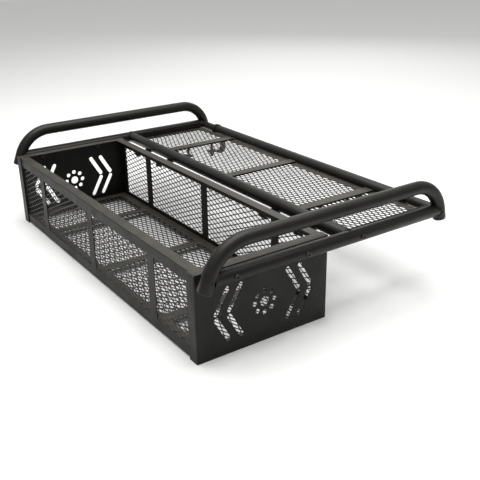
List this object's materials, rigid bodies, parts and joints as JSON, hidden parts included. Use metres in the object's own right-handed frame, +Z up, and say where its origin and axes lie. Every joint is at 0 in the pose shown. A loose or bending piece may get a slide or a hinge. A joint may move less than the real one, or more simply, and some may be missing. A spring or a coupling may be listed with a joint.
{
  "type": "quad bike rear rack with drop basket",
  "caption": "Black tube and expanded-metal rear rack for a quad bike: a flat clamp-on deck in front, an open drop basket behind it and a bent handle tube along each side.",
  "frame": {"origin": "below the middle of the bounding box, level with the bottom edges of the basket's side plates, on which the rack stands when it is off the vehicle", "axes": "+Z up, +Y towards the front of the vehicle (from the basket to the deck), X across the vehicle along the cross tubes"},
  "size_m": [1.1012, 0.7042, 0.2821],
  "materials": {
    "powder_coated_tube": "satin black powder coat on bent steel tube",
    "powder_coated_sheet": "satin black powder coat on folded sheet steel",
    "powder_coated_expanded_metal": "satin black powder coat on expanded steel mesh",
    "black_zinc_fastener": "black zinc",
    "moulded_black_plastic": "moulded, matte"
  },
  "bodies": {
    "root": {"basket_bolt_front_left": "black_zinc_fastener", "basket_bolt_front_right": "black_zinc_fastener", "basket_bolt_rear_left": "black_zinc_fastener", "basket_bolt_rear_right": "black_zinc_fastener", "basket_nut_front_left": "black_zinc_fastener", "basket_nut_front_right": "black_zinc_fastener", "basket_nut_rear_left": "black_zinc_fastener", "basket_nut_rear_right": "black_zinc_fastener", "clamp_nut_front_left": "black_zinc_fastener", "clamp_nut_front_right": "black_zinc_fastener", "clamp_nut_rear_left": "black_zinc_fastener", "clamp_nut_rear_right": "black_zinc_fastener", "clamp_strap_front_left": "black_zinc_fastener", "clamp_strap_front_right": "black_zinc_fastener", "clamp_strap_rear_left": "black_zinc_fastener", "clamp_strap_rear_right": "black_zinc_fastener", "deck_bar_centre": "powder_coated_sheet", "deck_bar_left": "powder_coated_sheet", "deck_bar_right": "powder_coated_sheet", "deck_bolt_left": "black_zinc_fastener", "deck_bolt_right": "black_zinc_fastener", "deck_front_strip": "powder_coated_sheet", "deck_mesh": "powder_coated_expanded_metal", "deck_nut_left": "black_zinc_fastener", "deck_nut_right": "black_zinc_fastener", "deck_rear_strip": "powder_coated_sheet", "deck_side_angle_left": "powder_coated_sheet", "deck_side_angle_right": "powder_coated_sheet", "floor_frame": "powder_coated_sheet", "floor_mesh": "powder_coated_expanded_metal", "front_cross_tube": "powder_coated_tube", "front_panel_frame": "powder_coated_sheet", "front_panel_mesh": "powder_coated_expanded_metal", "front_tube_collar_left": "powder_coated_tube", "front_tube_collar_right": "powder_coated_tube", "front_tube_stub_left": "powder_coated_tube", "front_tube_stub_right": "powder_coated_tube", "handle_end_plug_front_left": "moulded_black_plastic", "handle_end_plug_front_right": "moulded_black_plastic", "handle_end_plug_rear_left": "moulded_black_plastic", "handle_end_plug_rear_right": "moulded_black_plastic", "hanger_bracket_inner_left": "powder_coated_sheet", "hanger_bracket_inner_right": "powder_coated_sheet", "hanger_bracket_outer_left": "powder_coated_sheet", "hanger_bracket_outer_right": "powder_coated_sheet", "plate_spacer_front_left": "black_zinc_fastener", "plate_spacer_front_right": "black_zinc_fastener", "plate_spacer_rear_left": "black_zinc_fastener", "plate_spacer_rear_right": "black_zinc_fastener", "rear_cross_tube": "powder_coated_tube", "rear_panel_frame": "powder_coated_sheet", "rear_panel_mesh": "powder_coated_expanded_metal", "side_handle_left": "powder_coated_tube", "side_handle_right": "powder_coated_tube", "side_plate_left": "powder_coated_sheet", "side_plate_right": "powder_coated_sheet", "side_rail_left": "powder_coated_tube", "side_rail_right": "powder_coated_tube"}
  },
  "joints": []
}
